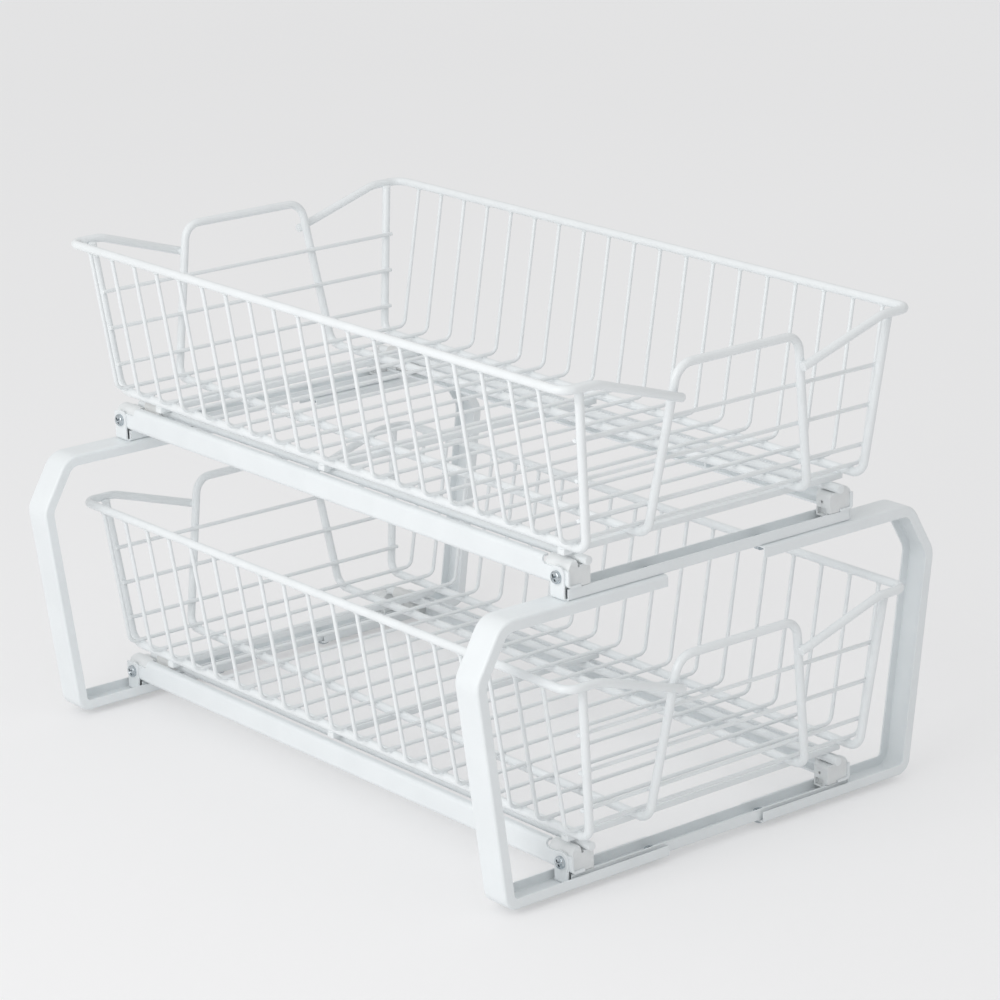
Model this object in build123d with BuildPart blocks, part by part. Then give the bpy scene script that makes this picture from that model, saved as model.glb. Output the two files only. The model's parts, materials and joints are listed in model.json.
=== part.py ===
from build123d import *
from math import hypot, sqrt
import os

os.makedirs("parts", exist_ok=True)

# Two sliding wire baskets on rails, in a frame of bent channel that is bolted together.
# Millimetres. X to the right, Y to the rear, Z up. The origin lies on the floor, under the baskets' centre.

# Fits and allowances
weld_gap = 0.05
lap_gap = 0.15
running_clearance = 0.3
hole_clearance = 0.25
cut_overrun = 1.0

# Frame halves, bent from U-channel that is open towards the inside of the loop
frame_half_length = 233.2
frame_setback = 8.0
frame_height = 178.0
frame_foot_spread = 165.4
frame_waist_spread = 185.0
frame_waist_rise = 144.2
frame_top_spread = 165.4
frame_stub_spread = 39.0
frame_band = 20.8
frame_flange = 7.0
frame_sheet = 1.2
frame_fold_inside = 0.6
frame_foot_inside = 3.0
frame_waist_inside = 9.0
frame_top_inside = 8.0

# Cross channels with a tab bent up at each end
channel_half_span = 115.6
channel_width = 14.4
channel_flange = 7.1
channel_sheet = 1.2
tab_height = 20.2
tab_inside = 0.8
tab_corner = 4.5
tab_relief = 0.6
slot_length = 15.0

# Rails of C-section, screwed to the inner faces of the tabs
rail_setback = 1.6
rail_lift = 7.6
rail_flange = 10.0
rail_lip = 5.0
rail_sheet = 1.5
rail_inside = 1.5
rail_notch_depth = 5.0
rail_notch_margin = 1.0
rail_notch_radius = 3.0
stop_width = 5.0
stop_height = 4.0

# Moulded saddle blocks in the rail ends
block_width = 16.6
block_recess = 1.5
saddle_rise = 12.5
saddle_length = 12.0
saddle_round = 3.0
saddle_floor_gap = 0.3
foot_drop = 2.8
foot_side_gap = 1.0
ear_width = 7.1
ear_length = 21.0
ear_crown = 1.1
ear_crown_round = 0.6
ear_front_round = 3.0
hook_notch_depth = 1.2
pocket_wall = 1.3
pocket_sill = 1.0
pocket_height = 4.5
pocket_depth = 3.0
vent_diameter = 2.0

# Screws and nuts
screw_shank = 4.0
screw_head = 8.0
screw_head_height = 2.6
rail_screw_rise = 13.7
rail_screw_length = 10.4
frame_screw_spread = 45.0
frame_screw_tip = 0.8
nut_flats = 7.0
nut_height = 3.2

# Basket stock
stout_wire = 5.5
fine_wire = 2.6
fine_wire_sides = 8
bar_depth = 6.0
bar_thickness = 4.0
bar_clearance = 2.5
bar_overhang = 1.7

# Basket sizes: heights above the long floor wires, lengths from the basket's centre
runner_side_gap = 1.8
runner_projection = 4.5
front_bar_inset = 12.6
mid_bar_shift = 14.0
rear_bar_inset = 35.6
floor_overhang = 8.4
handle_floor_spread = 64.0
handle_top_spread = 47.6
handle_rise = 100.4
handle_top_bend = 12.0
corner_wire_inset = 4.1
corner_lean = 12.0
floor_bend = 9.0
end_flare = 8.6
rim_rise = 101.7
rim_overhang = 14.3
rim_level_run = 23.6
rim_tip_spread = 47.5
rim_dip = 20.3
rim_corner_bend = 9.0
rim_dip_bend = 28.0
cross_wire_count = 19
cross_wire_end_gap = 10.0
cross_wire_overhang = 9.9
cross_wire_bend = 6.0
end_wire_rises = (18.3, 43.1, 67.9)
end_wire_overhang = 2.0

# Glides on the rear ends of the runners
glide_length = 17.0
glide_wall = 1.6
glide_tongue = 6.0
glide_neck = 5.0
basket_travel = 300.0

# Heights that follow from the stack of pieces, from the underside of a tier's cross channels
frame_base = nut_height + frame_screw_tip
saddle_level = rail_lift + saddle_rise
runner_level = saddle_level + running_clearance + stout_wire / 2
bar_underside = runner_level + stout_wire / 2 + weld_gap
rail_top = bar_underside - bar_clearance
floor_wire_level = bar_underside + bar_thickness + weld_gap + stout_wire / 2
cross_wire_level = floor_wire_level + stout_wire / 2 + weld_gap + fine_wire / 2
rim_level = floor_wire_level + rim_rise
tier_bases = {"lower": frame_base + frame_sheet, "upper": frame_base + frame_height}

# Places across the frame, from its middle plane
rail_outer = channel_half_span - channel_sheet
rail_inner = rail_outer - rail_sheet
ear_inner = rail_inner - ear_width
block_inner = rail_inner - block_width
runner_spread = ear_inner - runner_side_gap - stout_wire / 2
corner_floor_spread = rail_outer - corner_wire_inset
corner_top_spread = corner_floor_spread + corner_lean
rim_spread = corner_top_spread + rim_overhang
cross_wire_floor_spread = corner_floor_spread + cross_wire_overhang

# Places along the frame, from its centre
channel_place = frame_half_length - frame_band / 2
rail_end = frame_half_length - rail_setback
block_end = rail_end - block_recess
glide_rear = block_end - ear_length - running_clearance
glide_front = glide_rear - glide_length
stop_place = glide_front - basket_travel - running_clearance - rail_sheet / 2

# Places along the basket, from its centre
runner_half_length = block_end - frame_setback + runner_projection
floor_half_length = runner_half_length + floor_overhang
cross_wires_length = 2 * (floor_half_length - cross_wire_end_gap)
bar_places = {
    "front_bar": front_bar_inset - runner_half_length,
    "mid_bar": mid_bar_shift,
    "rear_bar": runner_half_length - rear_bar_inset,
}

# Holes for the screws
shank_hole = screw_shank + 2 * hole_clearance

# Outside bends, from the inside bends and the sheet or flange
frame_fold = frame_fold_inside + frame_sheet
frame_foot_bend = frame_foot_inside + frame_flange
frame_waist_bend = frame_waist_inside + frame_flange
frame_top_bend = frame_top_inside + frame_flange
channel_fold = channel_sheet
tab_bend = tab_inside + channel_sheet
rail_bend = rail_inside + rail_sheet

# The leaning plane of the handle legs and corner wires
lean_length = hypot(handle_rise, end_flare)
lean_cos = handle_rise / lean_length
lean_sin = end_flare / lean_length
rim_tip_rise = rim_rise - rim_dip

sides = {"left": -1, "right": 1}
ends = {"front": -1, "rear": 1}


def finish(piece, name):
    piece.part.label = name
    export_step(piece.part, f"parts/{name}.step")


def end_plane(rise):
    # Distance of the leaning end plane from the basket's centre, at a height above the floor wires
    return floor_half_length + end_flare * rise / handle_rise


def bent_wire(points, bends, diameter):
    # Round wire along straight runs joined by bends
    with BuildPart() as wire:
        with BuildLine() as path:
            FilletPolyline(*points, radius=bends)
        with BuildSketch(Plane(origin=path.line @ 0, z_dir=path.line % 0)):
            Circle(diameter / 2)
        sweep()
    return wire


def pan_head_screw(length):
    # Head above the seat at Z = 0, shank below it
    with BuildPart() as screw:
        Cylinder(screw_head / 2, screw_head_height, align=(Align.CENTER, Align.CENTER, Align.MIN))
        Cylinder(screw_shank / 2, length, align=(Align.CENTER, Align.CENTER, Align.MAX))
    return screw


# Frame half: a U-section swept round the bends, with a screw hole near each stub end
with BuildPart() as frame_half:
    with BuildLine() as frame_path:
        FilletPolyline(
            (frame_stub_spread, 0, 0),
            (frame_foot_spread, 0, 0),
            (frame_waist_spread, 0, frame_waist_rise),
            (frame_top_spread, 0, frame_height),
            (frame_stub_spread, 0, frame_height),
            radius=(frame_foot_bend, frame_waist_bend, frame_top_bend),
        )
    stub_plane = Plane(origin=frame_path.line @ 0, x_dir=(0, 1, 0), z_dir=frame_path.line % 0)
    with BuildSketch(stub_plane) as section:
        Rectangle(frame_band, frame_flange, align=(Align.CENTER, Align.MIN))
        fillet(section.vertices().group_by(Axis.Y)[0], radius=frame_fold)
        with BuildSketch(mode=Mode.PRIVATE) as hollow:
            with Locations((0, frame_sheet)):
                Rectangle(frame_band - 2 * frame_sheet, frame_flange, align=(Align.CENTER, Align.MIN))
            fillet(hollow.vertices().group_by(Axis.Y)[0], radius=frame_fold_inside)
        add(hollow.sketch, mode=Mode.SUBTRACT)
    sweep()
    with BuildSketch():
        with Locations((frame_screw_spread, 0)):
            Circle(shank_hole / 2)
    extrude(amount=frame_height + cut_overrun, both=True, mode=Mode.SUBTRACT)

for end, toward_end in ends.items():
    with BuildPart() as frame_right:
        with Locations((0, frame_setback + toward_end * channel_place, frame_base)):
            add(frame_half.part)
    with BuildPart() as frame_left:
        mirror(frame_right.part, about=Plane.YZ)
    finish(frame_right, f"{end}_frame_right")
    finish(frame_left, f"{end}_frame_left")

# Cross channel: floor and end tabs from one bent strip, flanges along both sides, slots for the frame screws
flange_half_span = channel_half_span - tab_bend - tab_relief
with BuildPart() as channel:
    with BuildSketch(Plane.XZ) as strip:
        with BuildLine():
            FilletPolyline(
                (-channel_half_span, tab_height),
                (-channel_half_span, 0),
                (channel_half_span, 0),
                (channel_half_span, tab_height),
                radius=tab_bend,
            )
            offset(amount=channel_sheet, side=Side.LEFT)
        make_face()
    extrude(amount=channel_width / 2 - channel_fold, both=True)
    tab_edges = channel.edges().filter_by(Axis.X).group_by(Axis.Z)[-1]
    fillet(tab_edges, radius=tab_corner)
    with BuildSketch(Plane.YZ) as trough:
        Rectangle(channel_width, channel_flange, align=(Align.CENTER, Align.MIN))
        fillet(trough.vertices().group_by(Axis.Y)[0], radius=channel_fold)
        with Locations((0, channel_sheet)):
            Rectangle(
                channel_width - 2 * channel_sheet,
                channel_flange,
                align=(Align.CENTER, Align.MIN),
                mode=Mode.SUBTRACT,
            )
    extrude(amount=flange_half_span, both=True)
    with BuildSketch():
        with GridLocations(2 * frame_screw_spread, 0, 2, 1):
            SlotOverall(slot_length, shank_hole)
    extrude(amount=channel_flange, mode=Mode.SUBTRACT)
    with BuildSketch(Plane.YZ):
        with Locations((0, rail_screw_rise)):
            Circle(shank_hole / 2)
    extrude(amount=channel_half_span + cut_overrun, both=True, mode=Mode.SUBTRACT)

# Rail: C-section with a lower flange, an upper lip that is cut back over the blocks, and a stop for the glide
notch_length = block_recess + ear_length + rail_notch_margin
with BuildPart() as rail:
    with BuildSketch(Plane.XZ) as rail_section:
        with BuildLine():
            FilletPolyline(
                (rail_outer - rail_flange, rail_lift),
                (rail_outer, rail_lift),
                (rail_outer, rail_top),
                (rail_outer - rail_lip, rail_top),
                radius=rail_bend,
            )
            offset(amount=rail_sheet, side=Side.LEFT)
        make_face()
    extrude(amount=rail_end, both=True)
    with BuildSketch(Plane.YZ.offset(rail_outer + cut_overrun)) as notches:
        for toward_end in ends.values():
            with Locations((toward_end * rail_end, rail_top)):
                Rectangle(2 * notch_length, 2 * rail_notch_depth)
        inner_corners = notches.vertices().group_by(Axis.Y)[0].sort_by(Axis.X)[1:-1]
        fillet(inner_corners, radius=rail_notch_radius)
    extrude(amount=-(rail_lip + 2 * cut_overrun), mode=Mode.SUBTRACT)
    with BuildSketch(Plane.YZ.offset(rail_inner - cut_overrun)):
        with GridLocations(2 * channel_place, 0, 2, 1):
            with Locations((0, rail_screw_rise)):
                Circle(shank_hole / 2)
    extrude(amount=rail_sheet + 2 * cut_overrun, mode=Mode.SUBTRACT)
    with Locations((rail_outer - rail_flange, stop_place, rail_lift)):
        Box(stop_width, rail_sheet, stop_height, align=(Align.MIN, Align.CENTER, Align.MIN))

# Saddle block for the front right corner: an ear beside the runner, a saddle under it, a foot in the channel
flange_top = rail_lift + rail_sheet
lip_edge = rail_outer - rail_flange - running_clearance
ear_height = rail_top - flange_top
saddle_floor = channel_flange + saddle_floor_gap
foot_length = channel_width - 2 * channel_sheet - 2 * foot_side_gap
with BuildPart() as block:
    with BuildSketch(Plane.XZ.offset(block_end)) as ear_outline:
        with Locations((ear_inner, flange_top)):
            Rectangle(ear_width, ear_height, align=(Align.MIN, Align.MIN))
        outer_top = ear_outline.vertices().group_by(Axis.Y)[-1].sort_by(Axis.X)[-1]
        fillet(outer_top, radius=ear_width - ear_crown)
        inner_top = ear_outline.vertices().group_by(Axis.Y)[-1].sort_by(Axis.X)[0]
        fillet(inner_top, radius=ear_crown_round)
        foot_corner = ear_outline.vertices().group_by(Axis.Y)[0].sort_by(Axis.X)[-1]
        fillet(foot_corner, radius=rail_inside + running_clearance)
    extrude(amount=-ear_length)
    with BuildSketch(Plane.YZ.offset(ear_inner)) as ear_side:
        with Locations((-block_end, flange_top)):
            Rectangle(ear_length, ear_height, align=(Align.MIN, Align.MIN))
        front_top = ear_side.vertices().group_by(Axis.Y)[-1].sort_by(Axis.X)[0]
        fillet(front_top, radius=ear_front_round)
    extrude(amount=ear_width, mode=Mode.INTERSECT)
    with BuildSketch(Plane.XZ.offset(block_end)) as saddle_outline:
        with BuildLine():
            Polyline(
                (block_inner, saddle_floor),
                (block_inner, saddle_level),
                (ear_inner - runner_side_gap, saddle_level),
                (ear_inner - runner_side_gap, saddle_level - hook_notch_depth),
                (ear_inner, saddle_level - hook_notch_depth),
                (ear_inner, flange_top),
                (lip_edge, flange_top),
                (lip_edge, saddle_floor),
                close=True,
            )
        make_face()
        saddle_rim = saddle_outline.vertices().group_by(Axis.X)[0].sort_by(Axis.Y)[-1]
        fillet(saddle_rim, radius=saddle_round)
    extrude(amount=-saddle_length)
    with BuildSketch(Plane.XY.offset(saddle_floor)):
        with Locations((block_inner, -channel_place)):
            Rectangle(lip_edge - block_inner, foot_length, align=(Align.MIN, Align.CENTER))
    extrude(amount=-foot_drop)
    with BuildSketch(Plane.YZ.offset(block_inner)):
        with Locations((-channel_place, saddle_floor - foot_drop + pocket_sill)):
            Rectangle(foot_length - 2 * pocket_wall, pocket_height, align=(Align.CENTER, Align.MIN))
    extrude(amount=pocket_depth, mode=Mode.SUBTRACT)
    with BuildSketch(Plane.YZ.offset(rail_inner)):
        with Locations((-channel_place, rail_screw_rise)):
            Circle(screw_shank / 2 + weld_gap)
    extrude(amount=-(rail_screw_length - rail_sheet - channel_sheet + cut_overrun), mode=Mode.SUBTRACT)
    with BuildSketch(Plane.YZ.offset(rail_inner)):
        with Locations((-channel_place, rail_screw_rise)):
            Circle(vent_diameter / 2)
    extrude(amount=-(block_width + cut_overrun), mode=Mode.SUBTRACT)

with BuildPart() as rear_block:
    mirror(block.part, about=Plane.XZ)
corner_blocks = {"front": block, "rear": rear_block}

for tier, base in tier_bases.items():
    for end, toward_end in ends.items():
        with BuildPart() as cross_channel:
            with Locations((0, frame_setback + toward_end * channel_place, base)):
                add(channel.part)
        finish(cross_channel, f"{tier}_{end}_cross_channel")
        with BuildPart() as block_right:
            with Locations((0, frame_setback, base)):
                add(corner_blocks[end].part)
        with BuildPart() as block_left:
            mirror(block_right.part, about=Plane.YZ)
        finish(block_right, f"{tier}_{end}_block_right")
        finish(block_left, f"{tier}_{end}_block_left")
    with BuildPart() as rail_right:
        with Locations((0, frame_setback, base)):
            add(rail.part)
    with BuildPart() as rail_left:
        mirror(rail_right.part, about=Plane.YZ)
    finish(rail_right, f"{tier}_rail_right")
    finish(rail_left, f"{tier}_rail_left")

# Screws through the tabs and rails into the blocks
rail_screw = pan_head_screw(rail_screw_length)
with BuildPart() as rail_screws:
    for base in tier_bases.values():
        for toward_end in ends.values():
            for toward_side in sides.values():
                seat = (
                    toward_side * channel_half_span,
                    frame_setback + toward_end * channel_place,
                    base + rail_screw_rise,
                )
                with Locations(Plane(origin=seat, z_dir=(toward_side, 0, 0))):
                    add(rail_screw.part)
finish(rail_screws, "rail_screws")

# Screws and nuts that clamp the cross channels to the frame halves
frame_screw = pan_head_screw(channel_sheet + frame_sheet + nut_height + frame_screw_tip)
with BuildPart() as nut:
    with BuildSketch():
        RegularPolygon(nut_flats / 2, side_count=6, major_radius=False)
        Circle(screw_shank / 2 + weld_gap, mode=Mode.SUBTRACT)
    extrude(amount=nut_height)
frame_screw_places = [
    (toward_side * frame_screw_spread, frame_setback + toward_end * channel_place)
    for toward_end in ends.values()
    for toward_side in sides.values()
]
web_undersides = {
    "lower": tier_bases["lower"] - frame_sheet,
    "upper": tier_bases["upper"] - frame_sheet,
}
with BuildPart() as frame_screws:
    for base in tier_bases.values():
        with Locations(*[(x, y, base + channel_sheet) for x, y in frame_screw_places]):
            add(frame_screw.part)
finish(frame_screws, "frame_screws")
with BuildPart() as frame_nuts:
    for underside in web_undersides.values():
        with Locations(*[(x, y, underside - nut_height) for x, y in frame_screw_places]):
            add(nut.part)
finish(frame_nuts, "frame_nuts")

# Rim: a long side run, a short level run round each corner, then a dip to a tip outside the handle's leg
rim_end = end_plane(rim_tip_rise) + (stout_wire + lap_gap) / lean_cos
rim_tip_level = floor_wire_level + rim_tip_rise
rim_bend_spread = rim_spread - rim_level_run
rim_right = bent_wire(
    [
        (rim_tip_spread, -rim_end, rim_tip_level),
        (rim_bend_spread, -rim_end, rim_level),
        (rim_spread, -rim_end, rim_level),
        (rim_spread, rim_end, rim_level),
        (rim_bend_spread, rim_end, rim_level),
        (rim_tip_spread, rim_end, rim_tip_level),
    ],
    (rim_dip_bend, rim_corner_bend, rim_corner_bend, rim_dip_bend),
    stout_wire,
)

# Handle ring: an arch at each end and two floor wires, as one closed wire
handle_level = floor_wire_level + handle_rise
handle_end = end_plane(handle_rise)
half_handle = bent_wire(
    [
        (0, -handle_end, handle_level),
        (handle_top_spread, -handle_end, handle_level),
        (handle_floor_spread, -floor_half_length, floor_wire_level),
        (handle_floor_spread, floor_half_length, floor_wire_level),
        (handle_top_spread, handle_end, handle_level),
        (0, handle_end, handle_level),
    ],
    (handle_top_bend, floor_bend, floor_bend, handle_top_bend),
    stout_wire,
)
with BuildPart() as handle_ring:
    add(half_handle.part)
    mirror(half_handle.part, about=Plane.YZ)

# Corner wire: an upright under each end of the rim, and a floor wire between them
rim_side_step = rim_end - end_plane(rim_rise) - lean_cos * stout_wire / 2
corner_drop = sqrt((stout_wire / 2 + weld_gap) ** 2 - rim_side_step**2) - lean_sin * stout_wire / 2
corner_rise = rim_rise - corner_drop
corner_slope_share = (corner_top_spread - corner_floor_spread) / rim_rise
corner_top = corner_floor_spread + corner_slope_share * corner_rise
corner_right = bent_wire(
    [
        (corner_top, -end_plane(corner_rise), floor_wire_level + corner_rise),
        (corner_floor_spread, -floor_half_length, floor_wire_level),
        (corner_floor_spread, floor_half_length, floor_wire_level),
        (corner_top, end_plane(corner_rise), floor_wire_level + corner_rise),
    ],
    floor_bend,
    stout_wire,
)

# Cross wire: a U that butts under both rims, its section a polygon with a flat side on the floor wires
side_run = rim_spread - cross_wire_floor_spread
side_climb = rim_level - cross_wire_level
butt_share = 1 - (stout_wire / 2 + weld_gap) / hypot(side_run, side_climb)
butt_spread = cross_wire_floor_spread + butt_share * side_run
butt_level = cross_wire_level + butt_share * side_climb
cross_wire_pitch = cross_wires_length / (cross_wire_count - 1)
with BuildPart() as cross_wire:
    with BuildLine() as cross_path:
        FilletPolyline(
            (-butt_spread, 0, butt_level),
            (-cross_wire_floor_spread, 0, cross_wire_level),
            (cross_wire_floor_spread, 0, cross_wire_level),
            (butt_spread, 0, butt_level),
            radius=cross_wire_bend,
        )
    with BuildSketch(Plane(origin=cross_path.line @ 0, x_dir=(0, 1, 0), z_dir=cross_path.line % 0)):
        RegularPolygon(fine_wire / 2, fine_wire_sides, major_radius=False, rotation=180 / fine_wire_sides)
    sweep()

# End wires of the rear, on the inside of the legs and corner wires
end_wire_inset = (stout_wire / 2 + fine_wire / 2 + weld_gap) / lean_cos
with BuildPart() as end_wires:
    for rise in end_wire_rises:
        reach = corner_floor_spread + corner_slope_share * rise + end_wire_overhang
        centre = (0, end_plane(rise) - end_wire_inset, floor_wire_level + rise)
        with Locations(Plane(origin=centre, z_dir=(1, 0, 0))):
            Cylinder(fine_wire / 2, 2 * reach)

# Cross bar and runner
with BuildPart() as bar:
    Box(
        2 * (corner_floor_spread + bar_overhang),
        bar_depth,
        bar_thickness,
        align=(Align.CENTER, Align.CENTER, Align.MIN),
    )
with BuildPart() as runner:
    with Locations(Plane(origin=(runner_spread, 0, runner_level), z_dir=(0, 1, 0))):
        Cylinder(stout_wire / 2, 2 * runner_half_length)

# Glide: a sleeve on the runner with a tongue that is held in the rail
tongue_bottom = flange_top + running_clearance
tongue_top = rail_top - rail_sheet - running_clearance
tongue_outer = rail_inner - running_clearance
with BuildPart() as glide:
    with BuildSketch(Plane.XZ.offset(-(frame_setback + glide_rear))) as glide_outline:
        with Locations((runner_spread, runner_level)):
            Circle(stout_wire / 2 + glide_wall)
        with Locations((tongue_outer, tongue_top)):
            Rectangle(glide_tongue, tongue_top - tongue_bottom, align=(Align.MAX, Align.MAX))
        with Locations((runner_spread, tongue_top)):
            Rectangle(tongue_outer - runner_spread, glide_neck, align=(Align.MIN, Align.MAX))
        fillet(glide_outline.vertices().group_by(Axis.X)[-1], radius=rail_inside + running_clearance)
        with Locations((runner_spread, runner_level)):
            Circle(stout_wire / 2 + weld_gap, mode=Mode.SUBTRACT)
    extrude(amount=glide_length)

paired_pieces = {"rim": rim_right, "corner_wire": corner_right, "runner": runner, "glide": glide}

for tier, base in tier_bases.items():
    for name, piece in paired_pieces.items():
        with BuildPart() as right_piece:
            with Locations((0, 0, base)):
                add(piece.part)
        with BuildPart() as left_piece:
            mirror(right_piece.part, about=Plane.YZ)
        finish(right_piece, f"{tier}_{name}_right")
        finish(left_piece, f"{tier}_{name}_left")
    with BuildPart() as handle:
        with Locations((0, 0, base)):
            add(handle_ring.part)
    finish(handle, f"{tier}_handle_ring")
    with BuildPart() as cross_wires:
        with Locations((0, 0, base)):
            with GridLocations(0, cross_wire_pitch, 1, cross_wire_count):
                add(cross_wire.part)
    finish(cross_wires, f"{tier}_cross_wires")
    with BuildPart() as rear_wires:
        with Locations((0, 0, base)):
            add(end_wires.part)
    with BuildPart() as front_wires:
        mirror(rear_wires.part, about=Plane.XZ)
    finish(rear_wires, f"{tier}_rear_end_wires")
    finish(front_wires, f"{tier}_front_end_wires")
    for bar_name, place in bar_places.items():
        with BuildPart() as cross_bar:
            with Locations((0, place, base + bar_underside)):
                add(bar.part)
        finish(cross_bar, f"{tier}_{bar_name}")
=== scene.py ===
import json
from math import cos, hypot, pi, radians, sin, tan

import bmesh
import bpy
from mathutils import Matrix, Vector

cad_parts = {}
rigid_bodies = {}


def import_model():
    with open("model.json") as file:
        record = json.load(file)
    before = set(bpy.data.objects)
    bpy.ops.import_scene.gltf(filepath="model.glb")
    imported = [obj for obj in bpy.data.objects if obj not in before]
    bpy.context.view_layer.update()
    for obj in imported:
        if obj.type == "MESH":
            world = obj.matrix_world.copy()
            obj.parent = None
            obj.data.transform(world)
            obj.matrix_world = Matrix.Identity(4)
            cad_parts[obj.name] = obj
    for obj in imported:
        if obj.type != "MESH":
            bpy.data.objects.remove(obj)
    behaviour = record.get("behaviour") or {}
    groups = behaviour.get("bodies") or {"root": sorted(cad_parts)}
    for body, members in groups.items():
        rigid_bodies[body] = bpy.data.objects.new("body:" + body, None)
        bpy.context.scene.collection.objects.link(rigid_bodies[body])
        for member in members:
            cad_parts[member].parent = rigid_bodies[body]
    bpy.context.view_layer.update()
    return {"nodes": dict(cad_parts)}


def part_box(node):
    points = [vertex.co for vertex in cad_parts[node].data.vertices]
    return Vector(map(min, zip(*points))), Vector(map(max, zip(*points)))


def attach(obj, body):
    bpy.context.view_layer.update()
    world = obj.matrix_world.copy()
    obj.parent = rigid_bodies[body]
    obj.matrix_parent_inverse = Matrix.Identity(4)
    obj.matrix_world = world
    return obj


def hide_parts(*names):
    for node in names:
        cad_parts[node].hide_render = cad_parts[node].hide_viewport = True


# Two sliding wire baskets in a bolted frame of bent channel. Metres, in the frame of the CAD model.

# Wire stock and bends
STOUT_WIRE = 0.0055
FINE_WIRE = 0.0026
STOUT_SIDES = 22
FINE_SIDES = 14
BEND_STEPS = 12
CUT_ROUND_SHARE = 0.15
CUT_STEPS = 3

# Basket sizes that the node boxes don't give
FLOOR_HALF_LENGTH = 0.235
FLOOR_BEND = 0.009
HANDLE_TOP_SPREAD = 0.0476
HANDLE_TOP_BEND = 0.012
CORNER_LEAN = 0.012
RIM_RISE = 0.1017
RIM_LEVEL_RUN = 0.0236
RIM_TIP_SPREAD = 0.0475
RIM_DIP = 0.0203
RIM_CORNER_BEND = 0.009
RIM_DIP_BEND = 0.028
CROSS_WIRE_COUNT = 19
CROSS_WIRE_PITCH = 0.025
CROSS_WIRE_BEND = 0.006
CROSS_WIRE_FLOOR_SPREAD = 0.1202
END_WIRE_RISES = (0.0183, 0.0431, 0.0679)
END_WIRE_OVERHANG = 0.002
WELD_GAP = 0.00005

# Weld beads: half length, half width and half depth
CROSS_BEAD = (0.0021, 0.0017, 0.0008)
BUTT_BEAD = (0.0021, 0.0018, 0.0009)
BAR_BEAD = (0.0036, 0.0024, 0.0011)
RIM_BEAD = (0.0034, 0.0022, 0.001)
CORNER_BEAD = (0.0033, 0.003, 0.0012)

# Screws and nuts
SCREW_SHANK = 0.004
SCREW_HEAD = 0.008
SCREW_HEAD_HEIGHT = 0.0026
SCREW_HEAD_SIDE = 0.0011
SCREW_DOME = 0.0003
SCREW_DOME_STEPS = 7
SCREW_CROWN_SHARE = 0.35
SCREW_CROWN_DROP_SHARE = 0.25
RECESS_ARM = 0.0014
RECESS_SPAN = 0.005
RECESS_DEPTH = 0.0019
RECESS_SPAN_TAPER_SHARE = 0.5
RECESS_ARM_TAPER_SHARE = 0.7
RECESS_TURN = radians(36)
THREAD_PITCH = 0.0007
THREAD_DEPTH = 0.00042
THREAD_LENGTH = 0.0021
THREAD_ROWS = 6
THREAD_RUNOUT_SHARE = 0.5
THREAD_CORE_SHARE = 0.5
RAIL_SCREW_RISE = 0.0137
RAIL_SCREW_LENGTH = 0.0104
FRAME_SCREW_SPREAD = 0.045
FRAME_SCREW_TURN = radians(40)
CHANNEL_SHEET = 0.0012
NUT_FLATS = 0.007
NUT_HEIGHT = 0.0032
NUT_CHAMFER = radians(30)
NUT_FACE_SHARE = 0.97
NUT_BORE_SHARE = 1.1
NUT_STEPS = 48
HEX_TURN = pi / 3
ROUND_STEPS = 36

# Edges of sheet and mouldings under the coat
SHEET_EDGE = 0.00035
BLOCK_EDGE = 0.0007
BAR_EDGE = 0.0006
EDGE_STEPS = 3
SAME_POINT = 0.000002
FLAT_ANGLE = radians(0.6)
EDGE_ANGLE = radians(32)

# Finishes: the span of noise that the tint and the gloss run over, and the detail of the noise
TINT_LOW = 0.35
TINT_HIGH = 0.65
GLOSS_LOW = 0.3
GLOSS_HIGH = 0.7
GRAINS_PER_GLOSS_PATCH = 3
PATCH_DETAIL = 3.0
GRAIN_DETAIL = 2.0
COAT_ROUGHNESS = 0.25

# Camera, as the photograph was taken
CAMERA_AZIMUTH = radians(-39.325)
CAMERA_ELEVATION = radians(17.316)
CAMERA_ROLL = radians(-1.076)
CAMERA_DISTANCE = 2.3533
CAMERA_TARGET = Vector((0, 0.008, 0.174))
CAMERA_RIGHT = 0.02014
CAMERA_DOWN = 0.00723
CAMERA_LENS = 132.58
CAMERA_SENSOR = 36.0

# Studio
FLOOR_REACH = 12.0
FLOOR_TINTS = ((0.88, 0.88, 0.887), (0.905, 0.905, 0.912))
FLOOR_TINT_LOW = 0.3
FLOOR_TINT_HIGH = 0.7
FLOOR_MOTTLE = 0.8
FLOOR_ROUGHNESS = 0.7
FLOOR_SPECULAR = 0.2
FLOOR_GLOW_SHARE = 0.4
FLOOR_GLOW_COLOUR = (0.94, 0.94, 0.945)
ROOM_BRIGHT_SIDE = (-0.3, 0.25, 0.92)
ROOM_BRIGHT = 0.81
ROOM_DIM = 0.35
KEY_POWER = 10.6
KEY_SIZE = 1.2
KEY_PLACE = Vector((-1.6, -0.35, 0.95))

TIERS = ("lower", "upper")
ENDS = {"front": -1, "rear": 1}
SIDES = {"left": -1, "right": 1}
X_AXIS = Vector((1, 0, 0))
Y_AXIS = Vector((0, 1, 0))
Z_AXIS = Vector((0, 0, 1))

for leftover in list(bpy.data.objects):
    bpy.data.objects.remove(leftover)
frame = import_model()


# Materials


def new_material(name):
    material = bpy.data.materials.new(name)
    material.use_nodes = True
    nodes = material.node_tree.nodes
    return material, nodes, material.node_tree.links, nodes["Principled BSDF"]


def noise(nodes, links, place, scale, detail=PATCH_DETAIL):
    texture = nodes.new("ShaderNodeTexNoise")
    texture.inputs["Scale"].default_value = scale
    texture.inputs["Detail"].default_value = detail
    links.new(place.outputs["Object"], texture.inputs["Vector"])
    return texture


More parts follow.
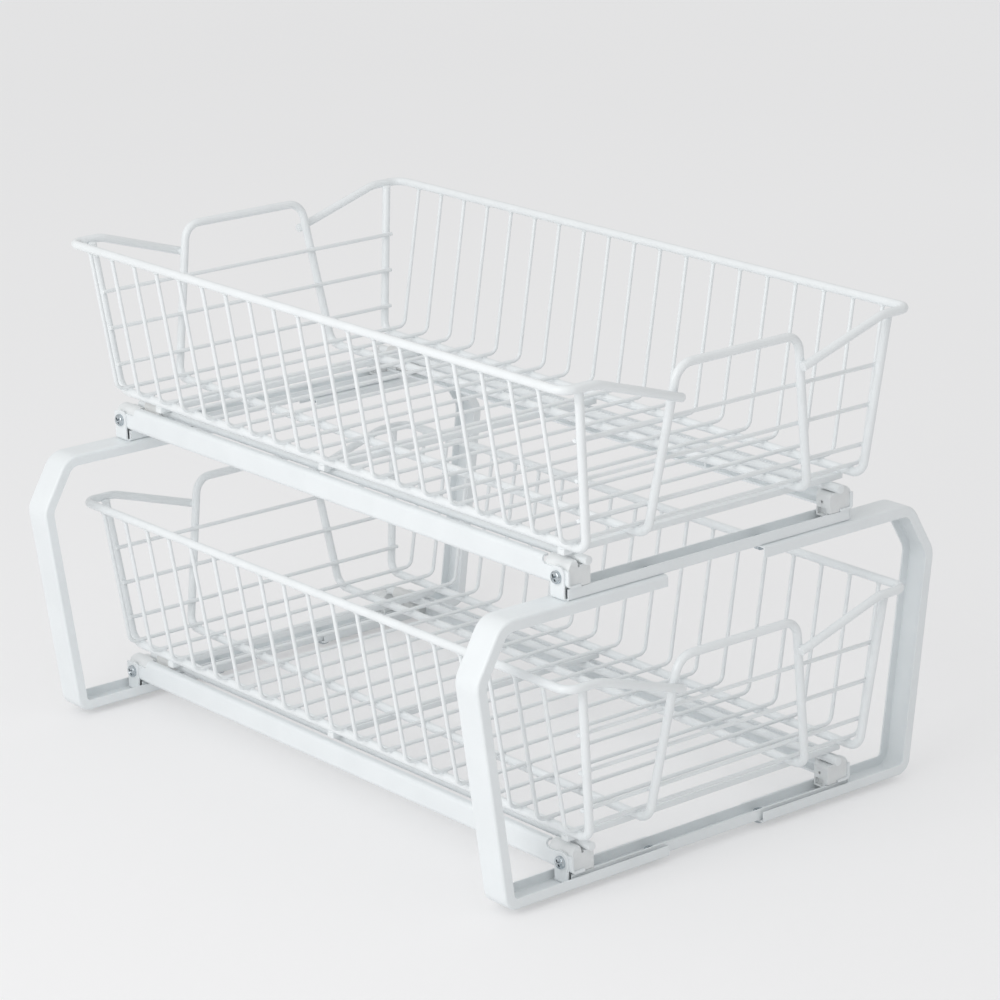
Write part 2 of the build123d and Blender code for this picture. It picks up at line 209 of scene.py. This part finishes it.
def ramp(nodes, links, source, low, high, low_colour, high_colour):
    colours = nodes.new("ShaderNodeValToRGB")
    colours.color_ramp.elements[0].position = low
    colours.color_ramp.elements[0].color = (*low_colour, 1)
    colours.color_ramp.elements[1].position = high
    colours.color_ramp.elements[1].color = (*high_colour, 1)
    links.new(source.outputs["Fac"], colours.inputs["Fac"])
    return colours


def spread(nodes, links, source, low, high):
    remap = nodes.new("ShaderNodeMapRange")
    remap.inputs["From Min"].default_value = GLOSS_LOW
    remap.inputs["From Max"].default_value = GLOSS_HIGH
    remap.inputs["To Min"].default_value = low
    remap.inputs["To Max"].default_value = high
    links.new(source.outputs["Fac"], remap.inputs["Value"])
    return remap


def bump(nodes, links, source, strength, distance):
    relief = nodes.new("ShaderNodeBump")
    relief.inputs["Strength"].default_value = strength
    relief.inputs["Distance"].default_value = distance
    links.new(source.outputs["Fac"], relief.inputs["Height"])
    return relief


def surface(name, colours, mottle, roughness, grain, strength, distance, metallic=0.0, coat=0.0):
    """A finish with a faint mottle in its colour, an uneven gloss and a fine relief."""
    material, nodes, links, shader = new_material(name)
    place = nodes.new("ShaderNodeTexCoord")
    tint = ramp(nodes, links, noise(nodes, links, place, mottle), TINT_LOW, TINT_HIGH, *colours)
    links.new(tint.outputs["Color"], shader.inputs["Base Color"])
    patches = noise(nodes, links, place, grain / GRAINS_PER_GLOSS_PATCH)
    gloss = spread(nodes, links, patches, *roughness)
    links.new(gloss.outputs["Result"], shader.inputs["Roughness"])
    relief = bump(nodes, links, noise(nodes, links, place, grain, GRAIN_DETAIL), strength, distance)
    links.new(relief.outputs["Normal"], shader.inputs["Normal"])
    shader.inputs["Metallic"].default_value = metallic
    shader.inputs["Coat Weight"].default_value = coat
    shader.inputs["Coat Roughness"].default_value = COAT_ROUGHNESS
    return material


frame_coat = surface(
    "frame_powder_coat",
    ((0.83, 0.865, 0.88), (0.855, 0.89, 0.905)),
    mottle=35, roughness=(0.34, 0.44), grain=900, strength=0.12, distance=0.0002, coat=0.12,
)
basket_coat = surface(
    "basket_powder_coat",
    ((0.85, 0.88, 0.892), (0.875, 0.905, 0.917)),
    mottle=60, roughness=(0.3, 0.42), grain=1200, strength=0.12, distance=0.0002, coat=0.15,
)
block_plastic = surface(
    "block_moulded_plastic",
    ((0.78, 0.80, 0.805), (0.82, 0.84, 0.845)),
    mottle=90, roughness=(0.42, 0.55), grain=1800, strength=0.1, distance=0.0001,
)
glide_plastic = surface(
    "glide_slippery_plastic",
    ((0.74, 0.75, 0.745), (0.78, 0.79, 0.785)),
    mottle=120, roughness=(0.3, 0.4), grain=1500, strength=0.06, distance=0.0001,
)
zinc_steel = surface(
    "bright_zinc_plate",
    ((0.44, 0.49, 0.52), (0.60, 0.64, 0.67)),
    mottle=700, roughness=(0.12, 0.26), grain=3000, strength=0.12, distance=0.00005, metallic=1.0,
)


# Pieces and paths


def new_piece(name, work, material, slot, body, *nodes):
    """Turns a work mesh into a piece that rides on a body and stands for CAD nodes."""
    mesh = bpy.data.meshes.new(name)
    for face in work.faces:
        face.smooth = True
    bmesh.ops.recalc_face_normals(work, faces=work.faces)
    work.to_mesh(mesh)
    work.free()
    mesh.set_sharp_from_angle(angle=EDGE_ANGLE)
    mesh.materials.append(material)
    piece = bpy.data.objects.new(name, mesh)
    bpy.context.collection.objects.link(piece)
    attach(piece, body)
    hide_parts(*nodes)
    return piece


def rounded_path(points, bends):
    """Straight runs between the points, with an arc of the given bend at each inner one."""
    points = [Vector(point) for point in points]
    path = [points[0]]
    for before, corner, after, bend in zip(points, points[1:], points[2:], bends):
        back = (before - corner).normalized()
        onward = (after - corner).normalized()
        half = back.angle(onward) / 2
        centre = corner + (back + onward).normalized() * bend / sin(half)
        start = corner + back * bend / tan(half) - centre
        finish = corner + onward * bend / tan(half) - centre
        turn = pi - 2 * half
        for step in range(BEND_STEPS + 1):
            along = step / BEND_STEPS * turn
            path.append(centre + (start * sin(turn - along) + finish * sin(along)) / sin(turn))
    return path + [points[-1]]


def ring(work, centre, across, up, radius, sides):
    angles = [2 * pi * side / sides for side in range(sides)]
    return [work.verts.new(centre + (across * cos(a) + up * sin(a)) * radius) for a in angles]


def bridge(work, first, second):
    for side in range(len(first)):
        after = (side + 1) % len(first)
        work.faces.new((first[side], first[after], second[after], second[side]))


def tube(work, path, diameter, sides, closed=False):
    """Round wire along a path; open ends are cut square with a rounded edge."""
    radius = diameter / 2
    lap = len(path)
    tangents = []
    for place in range(lap):
        before = path[place - 1] if closed else path[max(place - 1, 0)]
        after = path[(place + 1) % lap] if closed else path[min(place + 1, lap - 1)]
        tangents.append((after - before).normalized())
    across = tangents[0].orthogonal().normalized()
    stations = []
    for place, tangent in enumerate(tangents):
        across = (across - tangent * across.dot(tangent)).normalized()
        stations.append((path[place], tangent, across, tangent.cross(across)))
    if closed:
        rings = [ring(work, at, a, u, radius, sides) for at, _, a, u in stations]
        rings.append(rings[0])
    else:
        edge = CUT_ROUND_SHARE * radius
        rings = []
        for outward, (at, tangent, a, u) in ((-1, stations[0]), (1, stations[-1])):
            face = []
            for step in range(CUT_STEPS + 1):
                turn = step / CUT_STEPS * pi / 2
                shift = tangent * outward * edge * (sin(turn) - 1)
                face.append(ring(work, at + shift, a, u, radius - edge * (1 - cos(turn)), sides))
            rings.append(face if outward > 0 else face[::-1])
        middle = [ring(work, at, a, u, radius, sides) for at, _, a, u in stations[1:-1]]
        rings = rings[0] + middle + rings[1]
        work.faces.new(rings[0])
        work.faces.new(rings[-1])
    for first, second in zip(rings, rings[1:]):
        bridge(work, first, second)


def bead(work, centre, along, through, halves):
    """A small weld nib, flattened between two pieces that touch."""
    along = along.normalized()
    through = (through - along * through.dot(along)).normalized()
    sideways = through.cross(along)
    axes = [axis * half for axis, half in zip((along, sideways, through), halves)]
    turn = Matrix(axes).transposed().to_4x4()
    place = Matrix.Translation(centre) @ turn
    bmesh.ops.create_icosphere(work, subdivisions=2, radius=1, matrix=place)


def lathe(work, profile, sides):
    """Turns a profile of (radius, height) points round the Z axis; end points may lie on the axis."""
    rings = []
    for radius, height in profile:
        if radius == 0:
            rings.append([work.verts.new((0, 0, height))])
        else:
            rings.append(ring(work, Z_AXIS * height, X_AXIS, Y_AXIS, radius, sides))
    for first, second in zip(rings, rings[1:]):
        if len(first) == 1 or len(second) == 1:
            tip, rim = (first[0], second) if len(first) == 1 else (second[0], first)
            for side in range(sides):
                work.faces.new((tip, rim[side], rim[(side + 1) % sides]))
        else:
            bridge(work, first, second)


def rounded(work, edges, radius):
    bmesh.ops.bevel(
        work, geom=edges, offset=radius, segments=EDGE_STEPS, profile=0.5,
        affect="EDGES", clamp_overlap=True,
    )


# Baskets


def basket_sizes(tier):
    """Levels and spreads of one basket's wires, from its node boxes."""
    stout = STOUT_WIRE / 2
    ring_low, ring_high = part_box(f"{tier}_handle_ring")
    corner_low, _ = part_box(f"{tier}_corner_wire_right")
    _, rim_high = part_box(f"{tier}_rim_right")
    wires_low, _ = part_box(f"{tier}_cross_wires")
    return {
        "floor": ring_low.z + stout,
        "handle_level": ring_high.z - stout,
        "handle_spread": ring_high.x - stout,
        "handle_end": ring_high.y - stout,
        "corner_spread": corner_low.x + stout,
        "rim_spread": rim_high.x - stout,
        "rim_end": rim_high.y - stout,
        "rim_level": rim_high.z - stout,
        "cross_level": wires_low.z + FINE_WIRE / 2,
    }


def end_plane(size, rise):
    """Distance of the leaning end plane from the middle, at a height above the floor wires."""
    flare = size["handle_end"] - FLOOR_HALF_LENGTH
    return FLOOR_HALF_LENGTH + flare * rise / (size["handle_level"] - size["floor"])


def handle_leg_spread(size, rise):
    lean = (size["handle_spread"] - HANDLE_TOP_SPREAD) / (size["handle_level"] - size["floor"])
    return size["handle_spread"] - lean * rise


def corner_spread(size, rise):
    return size["corner_spread"] + CORNER_LEAN * rise / RIM_RISE


def build_rims(tier, size):
    tip_level = size["rim_level"] - RIM_DIP
    bend = size["rim_spread"] - RIM_LEVEL_RUN
    slope = Vector((bend - RIM_TIP_SPREAD, 0, RIM_DIP))
    leg = handle_leg_spread(size, tip_level - size["floor"])
    lift = (leg - RIM_TIP_SPREAD) * slope.z / slope.x
    meet = size["rim_end"] - STOUT_WIRE / 2
    for side, toward in SIDES.items():
        work = bmesh.new()
        half = [
            (toward * RIM_TIP_SPREAD, size["rim_end"], tip_level),
            (toward * bend, size["rim_end"], size["rim_level"]),
            (toward * size["rim_spread"], size["rim_end"], size["rim_level"]),
        ]
        front = [(x, -y, z) for x, y, z in half]
        bends = (RIM_DIP_BEND, RIM_CORNER_BEND, RIM_CORNER_BEND, RIM_DIP_BEND)
        tube(work, rounded_path(front + half[::-1], bends), STOUT_WIRE, STOUT_SIDES)
        along = Vector((toward * slope.x, 0, slope.z))
        for end in ENDS.values():
            spot = Vector((toward * leg, end * meet, tip_level + lift))
            bead(work, spot, along, Y_AXIS, RIM_BEAD)
        name = f"{tier}_rim_{side}"
        new_piece(f"{name}_wire", work, basket_coat, "basket_coat", f"{tier}_basket", name)


def build_handle_ring(tier, size):
    work = bmesh.new()
    foot = Vector((size["handle_spread"], FLOOR_HALF_LENGTH, size["floor"]))
    shoulder = Vector((HANDLE_TOP_SPREAD, size["handle_end"], size["handle_level"]))
    right = [foot, shoulder]
    corners = right + [Vector((-point.x, point.y, point.z)) for point in right[::-1]]
    corners += [Vector((point.x, -point.y, point.z)) for point in corners[::-1]]
    middle = (corners[0] + corners[-1]) / 2
    bends = (FLOOR_BEND, HANDLE_TOP_BEND, HANDLE_TOP_BEND, FLOOR_BEND) * 2
    path = rounded_path([middle] + corners + [middle], bends)
    tube(work, path[:-1], STOUT_WIRE, STOUT_SIDES, closed=True)
    name = f"{tier}_handle_ring"
    new_piece(f"{name}_wire", work, basket_coat, "basket_coat", f"{tier}_basket", name)


def build_corner_wires(tier, size):
    box_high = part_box(f"{tier}_corner_wire_right")[1]
    rise = box_high.z - size["floor"]
    for side, toward in SIDES.items():
        work = bmesh.new()
        top = Vector((toward * corner_spread(size, rise), end_plane(size, rise), size["floor"] + rise))
        foot = Vector((toward * size["corner_spread"], FLOOR_HALF_LENGTH, size["floor"]))
        half = [top, foot]
        front = [Vector((point.x, -point.y, point.z)) for point in half]
        tube(work, rounded_path(front + half[::-1], (FLOOR_BEND, FLOOR_BEND)), STOUT_WIRE, STOUT_SIDES)
        for end in ENDS.values():
            spot = Vector((top.x, end * top.y, top.z))
            bead(work, spot, X_AXIS, Z_AXIS, CORNER_BEAD)
        name = f"{tier}_corner_wire_{side}"
        new_piece(f"{name}_wire", work, basket_coat, "basket_coat", f"{tier}_basket", name)


def build_cross_wires(tier, size):
    work = bmesh.new()
    run = size["rim_spread"] - CROSS_WIRE_FLOOR_SPREAD
    climb = size["rim_level"] - size["cross_level"]
    share = 1 - (STOUT_WIRE / 2 + WELD_GAP) / hypot(run, climb)
    foot = Vector((CROSS_WIRE_FLOOR_SPREAD, 0, size["cross_level"]))
    top = foot + share * Vector((run, 0, climb))
    contact = size["floor"] + STOUT_WIRE / 2
    for count in range(CROSS_WIRE_COUNT):
        place = Vector((0, (count - (CROSS_WIRE_COUNT - 1) / 2) * CROSS_WIRE_PITCH, 0))
        left = [Vector((-point.x, 0, point.z)) + place for point in (top, foot)]
        right = [point + place for point in (foot, top)]
        tube(work, rounded_path(left + right, (CROSS_WIRE_BEND, CROSS_WIRE_BEND)), FINE_WIRE, FINE_SIDES)
        for toward in SIDES.values():
            for spread_here in (size["handle_spread"], size["corner_spread"]):
                spot = Vector((toward * spread_here, place.y, contact))
                bead(work, spot, X_AXIS, Z_AXIS, CROSS_BEAD)
            butt = Vector((toward * top.x, place.y, top.z))
            bead(work, butt, Y_AXIS, Vector((toward * run, 0, climb)), BUTT_BEAD)
    name = f"{tier}_cross_wires"
    new_piece(f"{name}_grid", work, basket_coat, "basket_coat", f"{tier}_basket", name)


def build_end_wires(tier, size):
    flare = size["handle_end"] - FLOOR_HALF_LENGTH
    lean = Vector((0, flare, size["handle_level"] - size["floor"])).normalized()
    inset = (STOUT_WIRE / 2 + FINE_WIRE / 2 + WELD_GAP) / lean.z
    for end, toward_end in ENDS.items():
        work = bmesh.new()
        name = f"{tier}_{end}_end_wires"
        through = Vector((0, lean.z, -toward_end * lean.y))
        for rise in END_WIRE_RISES:
            reach = corner_spread(size, rise) + END_WIRE_OVERHANG
            place = Vector((0, toward_end * (end_plane(size, rise) - inset), size["floor"] + rise))
            ends = [place + Vector((x, 0, 0)) for x in (-reach, 0, reach)]
            tube(work, ends, FINE_WIRE, FINE_SIDES)
            for toward in SIDES.values():
                for spread_here in (handle_leg_spread(size, rise), corner_spread(size, rise)):
                    spot = place + Vector((toward * spread_here, 0, 0))
                    spot += Vector((0, toward_end * FINE_WIRE / 2, 0))
                    bead(work, spot, X_AXIS, through, CROSS_BEAD)
        new_piece(f"{name}_wire", work, basket_coat, "basket_coat", f"{tier}_basket", name)


def build_bars(tier, size):
    runner_low, runner_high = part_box(f"{tier}_runner_right")
    runner_spread = (runner_low.x + runner_high.x) / 2
    for bar in ("front_bar", "mid_bar", "rear_bar"):
        name = f"{tier}_{bar}"
        low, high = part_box(name)
        work = bmesh.new()
        centre = (low + high) / 2
        stretch = Matrix.Diagonal((*(high - low), 1))
        bmesh.ops.create_cube(work, size=1, matrix=Matrix.Translation(centre) @ stretch)
        rounded(work, work.edges[:], BAR_EDGE)
        for toward in SIDES.values():
            for spread_here in (size["handle_spread"], size["corner_spread"]):
                spot = Vector((toward * spread_here, centre.y, high.z))
                bead(work, spot, Y_AXIS, Z_AXIS, BAR_BEAD)
            spot = Vector((toward * runner_spread, centre.y, low.z))
            bead(work, spot, Y_AXIS, Z_AXIS, BAR_BEAD)
        new_piece(f"{name}_flat", work, basket_coat, "basket_coat", f"{tier}_basket", name)


def build_runners(tier):
    for side in SIDES:
        name = f"{tier}_runner_{side}"
        low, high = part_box(name)
        centre = (low + high) / 2
        work = bmesh.new()
        ends = [Vector((centre.x, y, centre.z)) for y in (low.y, 0, high.y)]
        tube(work, ends, STOUT_WIRE, STOUT_SIDES)
        new_piece(f"{name}_rod", work, basket_coat, "basket_coat", f"{tier}_basket", name)


# Sheet pieces and mouldings keep the CAD shape, with softened edges


def softened(node, edge, material, slot, body):
    """A copy of a CAD node with its sharp edges rounded off."""
    mesh = frame["nodes"][node].data.copy()
    mesh.attributes.remove(mesh.attributes["custom_normal"])
    work = bmesh.new()
    work.from_mesh(mesh)
    bpy.data.meshes.remove(mesh)
    bmesh.ops.remove_doubles(work, verts=work.verts, dist=SAME_POINT)
    bmesh.ops.dissolve_limit(work, angle_limit=FLAT_ANGLE, verts=work.verts, edges=work.edges)
    sharp = [e for e in work.edges if e.is_manifold and e.calc_face_angle() > EDGE_ANGLE]
    rounded(work, sharp, edge)
    piece = new_piece(f"{node}_finish", work, material, slot, body, node)
    piece.modifiers.new("level_faces", "WEIGHTED_NORMAL").keep_sharp = True


def build_frame_pieces():
    for end in ENDS:
        for side in SIDES:
            softened(f"{end}_frame_{side}", SHEET_EDGE, frame_coat, "frame_coat", "frame")
    for tier in TIERS:
        for end in ENDS:
            softened(f"{tier}_{end}_cross_channel", SHEET_EDGE, frame_coat, "frame_coat", "frame")
            for side in SIDES:
                softened(f"{tier}_{end}_block_{side}", BLOCK_EDGE, block_plastic, "block_plastic", "frame")
        for side in SIDES:
            softened(f"{tier}_rail_{side}", SHEET_EDGE, frame_coat, "frame_coat", "frame")
            softened(f"{tier}_glide_{side}", BLOCK_EDGE, glide_plastic, "glide_plastic", f"{tier}_basket")


# Screws and nuts


def cross_cutter():
    """A tapered cross, as the driver's recess, with its mouth above the head."""
    work = bmesh.new()
    top = SCREW_HEAD_HEIGHT + RECESS_DEPTH
    bottom = SCREW_HEAD_HEIGHT - RECESS_DEPTH
    for turn in (0, pi / 2):
        made = bmesh.ops.create_cube(work, size=1)["verts"]
        for vert in made:
            high = vert.co.z > 0
            span = RECESS_SPAN * (2 - RECESS_SPAN_TAPER_SHARE if high else RECESS_SPAN_TAPER_SHARE)
            arm = RECESS_ARM * (1 if high else RECESS_ARM_TAPER_SHARE)
            flat = Vector((vert.co.x * span, vert.co.y * arm, 0))
            flat.rotate(Matrix.Rotation(turn + RECESS_TURN, 3, "Z"))
            vert.co = Vector((flat.x, flat.y, top if high else bottom))
    return work


def carved(work, cutter):
    """The work mesh less the cutter."""
    bodies = []
    for name, shape in (("carved", work), ("cutter", cutter)):
        mesh = bpy.data.meshes.new(name)
        shape.to_mesh(mesh)
        shape.free()
        bodies.append(bpy.data.objects.new(name, mesh))
        bpy.context.collection.objects.link(bodies[-1])
    cut = bodies[0].modifiers.new("cut", "BOOLEAN")
    cut.operation = "DIFFERENCE"
    cut.solver = "EXACT"
    cut.use_self = True
    cut.object = bodies[1]
    shaped = bodies[0].evaluated_get(bpy.context.evaluated_depsgraph_get()).to_mesh()
    result = bmesh.new()
    result.from_mesh(shaped)
    for body in bodies:
        mesh = body.data
        bpy.data.objects.remove(body)
        bpy.data.meshes.remove(mesh)
    return result


def screw_head():
    work = bmesh.new()
    radius = SCREW_HEAD / 2
    shoulder = SCREW_HEAD_HEIGHT - SCREW_DOME - SCREW_HEAD_SIDE
    profile = [(0, 0), (radius, 0), (radius, SCREW_HEAD_SIDE)]
    for step in range(1, SCREW_DOME_STEPS + 1):
        turn = step / SCREW_DOME_STEPS * pi / 2
        profile.append((radius - shoulder * (1 - cos(turn)), SCREW_HEAD_SIDE + shoulder * sin(turn)))
    crown = SCREW_HEAD_HEIGHT - SCREW_DOME * SCREW_CROWN_DROP_SHARE
    profile += [(radius * SCREW_CROWN_SHARE, crown), (0, SCREW_HEAD_HEIGHT)]
    lathe(work, profile, ROUND_STEPS)
    bmesh.ops.recalc_face_normals(work, faces=work.faces)
    return carved(work, cross_cutter())


def add_shank(work, length):
    """Plain shank with a turned thread over its last stretch."""
    radius = SCREW_SHANK / 2
    start = THREAD_LENGTH - length
    lathe(work, [(0, 0), (radius, 0), (radius, start), (0, start)], ROUND_STEPS)
    rows = []
    count = round(THREAD_LENGTH / THREAD_PITCH * THREAD_ROWS)
    for row in range(count + 1):
        depth = row / count * THREAD_LENGTH
        turns = []
        for step in range(ROUND_STEPS):
            phase = (depth / THREAD_PITCH + step / ROUND_STEPS) % 1
            groove = THREAD_DEPTH * abs(2 * phase - 1)
            runout = max(0, depth - THREAD_LENGTH + THREAD_PITCH) * THREAD_RUNOUT_SHARE
            angle = 2 * pi * step / ROUND_STEPS
            reach = radius - min(groove + runout, radius * THREAD_CORE_SHARE)
            turns.append(work.verts.new((reach * cos(angle), reach * sin(angle), start - depth)))
        rows.append(turns)
    for first, second in zip(rows, rows[1:]):
        bridge(work, first, second)
    work.faces.new(rows[-1])


def placed(work, shape, place):
    """Adds a copy of a shape at a place."""
    copy = bpy.data.meshes.new("copy")
    shape.to_mesh(copy)
    copy.transform(place)
    work.from_mesh(copy)
    bpy.data.meshes.remove(copy)


def build_rail_screws():
    screw = screw_head()
    add_shank(screw, RAIL_SCREW_LENGTH)
    work = bmesh.new()
    for tier in TIERS:
        for end in ENDS:
            low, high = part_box(f"{tier}_{end}_cross_channel")
            middle = (low.y + high.y) / 2
            for toward in SIDES.values():
                seat = Vector((toward * high.x, middle, low.z + RAIL_SCREW_RISE))
                turn = Matrix.Rotation(toward * pi / 2, 4, "Y")
                placed(work, screw, Matrix.Translation(seat) @ turn)
    screw.free()
    new_piece("rail_screws_detail", work, zinc_steel, "zinc_steel", "frame", "rail_screws")


def hex_nut():
    """Hexagon nut with the corners turned off at both ends."""
    work = bmesh.new()
    flat = NUT_FLATS / 2
    face = NUT_FACE_SHARE * flat
    bore = NUT_BORE_SHARE * SCREW_SHANK / 2
    columns = []
    for step in range(NUT_STEPS):
        angle = 2 * pi * step / NUT_STEPS
        direction = Vector((cos(angle), sin(angle), 0))
        corner = flat / cos((angle + HEX_TURN / 2) % HEX_TURN - HEX_TURN / 2)
        chamfer = (corner - face) * tan(NUT_CHAMFER)
        levels = (
            (bore, 0), (face, 0), (corner, chamfer),
            (corner, NUT_HEIGHT - chamfer), (face, NUT_HEIGHT), (bore, NUT_HEIGHT),
        )
        columns.append([work.verts.new(direction * radius + Z_AXIS * height) for radius, height in levels])
    rows = list(zip(*columns))
    for first, second in zip(rows, rows[1:] + rows[:1]):
        bridge(work, first, second)
    return work


def build_frame_screws():
    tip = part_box("frame_screws")[0].z
    seat_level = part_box("lower_front_cross_channel")[0].z + CHANNEL_SHEET
    screw = screw_head()
    add_shank(screw, seat_level - tip)
    nut = hex_nut()
    screws = bmesh.new()
    nuts = bmesh.new()
    for tier in TIERS:
        for end in ENDS:
            low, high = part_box(f"{tier}_{end}_cross_channel")
            middle = (low.y + high.y) / 2
            for toward in SIDES.values():
                seat = Vector((toward * FRAME_SCREW_SPREAD, middle, low.z + CHANNEL_SHEET))
                turn = Matrix.Rotation(toward * FRAME_SCREW_TURN, 4, "Z")
                placed(screws, screw, Matrix.Translation(seat) @ turn)
                under = Vector((seat.x, seat.y, seat.z - 2 * CHANNEL_SHEET - NUT_HEIGHT))
                placed(nuts, nut, Matrix.Translation(under))
    screw.free()
    nut.free()
    new_piece("frame_screws_detail", screws, zinc_steel, "zinc_steel", "frame", "frame_screws")
    new_piece("frame_nuts_detail", nuts, zinc_steel, "zinc_steel", "frame", "frame_nuts")


# Studio


def build_floor():
    """A plain floor that looks pale and still takes the object's shadow."""
    mesh = bpy.data.meshes.new("floor")
    reach = FLOOR_REACH
    mesh.from_pydata(
        [(-reach, -reach, 0), (reach, -reach, 0), (reach, reach, 0), (-reach, reach, 0)], [], [(0, 1, 2, 3)]
    )
    floor = bpy.data.objects.new("floor", mesh)
    bpy.context.collection.objects.link(floor)
    material, nodes, links, shader = new_material("pale_floor")
    place = nodes.new("ShaderNodeTexCoord")
    mottle = noise(nodes, links, place, FLOOR_MOTTLE)
    tint = ramp(nodes, links, mottle, FLOOR_TINT_LOW, FLOOR_TINT_HIGH, *FLOOR_TINTS)
    links.new(tint.outputs["Color"], shader.inputs["Base Color"])
    shader.inputs["Roughness"].default_value = FLOOR_ROUGHNESS
    shader.inputs["Specular IOR Level"].default_value = FLOOR_SPECULAR
    glow = nodes.new("ShaderNodeEmission")
    glow.inputs["Color"].default_value = (*FLOOR_GLOW_COLOUR, 1)
    path = nodes.new("ShaderNodeLightPath")
    seen = path.outputs["Is Camera Ray"]
    for other in ("Is Glossy Ray", "Is Transmission Ray"):
        either = nodes.new("ShaderNodeMath")
        either.operation = "MAXIMUM"
        links.new(seen, either.inputs[0])
        links.new(path.outputs[other], either.inputs[1])
        seen = either.outputs["Value"]
    share = nodes.new("ShaderNodeMath")
    share.operation = "MULTIPLY"
    share.inputs[1].default_value = FLOOR_GLOW_SHARE
    links.new(seen, share.inputs[0])
    blend = nodes.new("ShaderNodeMixShader")
    links.new(share.outputs["Value"], blend.inputs["Fac"])
    links.new(shader.outputs["BSDF"], blend.inputs[1])
    links.new(glow.outputs["Emission"], blend.inputs[2])
    links.new(blend.outputs["Shader"], nodes["Material Output"].inputs["Surface"])
    mesh.materials.append(material)


def area_lamp(name, place, size, power):
    lamp = bpy.data.lights.new(name, "AREA")
    lamp.shape = "SQUARE"
    lamp.size = size
    lamp.energy = power
    holder = bpy.data.objects.new(name, lamp)
    holder.location = place
    holder.rotation_euler = (CAMERA_TARGET - place).to_track_quat("-Z", "Y").to_euler()
    bpy.context.collection.objects.link(holder)


def build_light():
    """A pale room, brightest above and on the key lamp's side."""
    world = bpy.data.worlds.new("studio")
    world.use_nodes = True
    nodes, links = world.node_tree.nodes, world.node_tree.links
    direction = nodes.new("ShaderNodeTexCoord")
    toward = nodes.new("ShaderNodeVectorMath")
    toward.operation = "DOT_PRODUCT"
    toward.inputs[1].default_value = ROOM_BRIGHT_SIDE
    links.new(direction.outputs["Generated"], toward.inputs[0])
    strength = nodes.new("ShaderNodeMapRange")
    strength.inputs["From Min"].default_value = -1
    strength.inputs["From Max"].default_value = 1
    strength.inputs["To Min"].default_value = ROOM_DIM
    strength.inputs["To Max"].default_value = ROOM_BRIGHT
    links.new(toward.outputs["Value"], strength.inputs["Value"])
    background = nodes["Background"]
    background.inputs["Color"].default_value = (1, 1, 1, 1)
    links.new(strength.outputs["Result"], background.inputs["Strength"])
    bpy.context.scene.world = world
    area_lamp("key", KEY_PLACE, KEY_SIZE, KEY_POWER)
    bpy.context.scene.view_settings.view_transform = "Standard"


def build_camera():
    level = cos(CAMERA_ELEVATION)
    forward = Vector((-sin(CAMERA_AZIMUTH) * level, cos(CAMERA_AZIMUTH) * level, -sin(CAMERA_ELEVATION)))
    right = Vector((cos(CAMERA_AZIMUTH), sin(CAMERA_AZIMUTH), 0))
    up = right.cross(forward)
    rolled_right = right * cos(CAMERA_ROLL) + up * sin(CAMERA_ROLL)
    rolled_up = up * cos(CAMERA_ROLL) - right * sin(CAMERA_ROLL)
    place = CAMERA_TARGET - forward * CAMERA_DISTANCE
    place += rolled_right * CAMERA_RIGHT - rolled_up * CAMERA_DOWN
    lens = bpy.data.cameras.new("camera")
    lens.lens = CAMERA_LENS
    lens.sensor_width = CAMERA_SENSOR
    lens.sensor_fit = "HORIZONTAL"
    camera = bpy.data.objects.new("camera", lens)
    turn = Matrix((rolled_right, rolled_up, -forward)).transposed().to_4x4()
    camera.matrix_world = Matrix.Translation(place) @ turn
    bpy.context.collection.objects.link(camera)
    bpy.context.scene.camera = camera


for tier in TIERS:
    size = basket_sizes(tier)
    build_rims(tier, size)
    build_handle_ring(tier, size)
    build_corner_wires(tier, size)
    build_cross_wires(tier, size)
    build_end_wires(tier, size)
    build_bars(tier, size)
    build_runners(tier)
build_frame_pieces()
build_rail_screws()
build_frame_screws()
build_floor()
build_light()
build_camera()
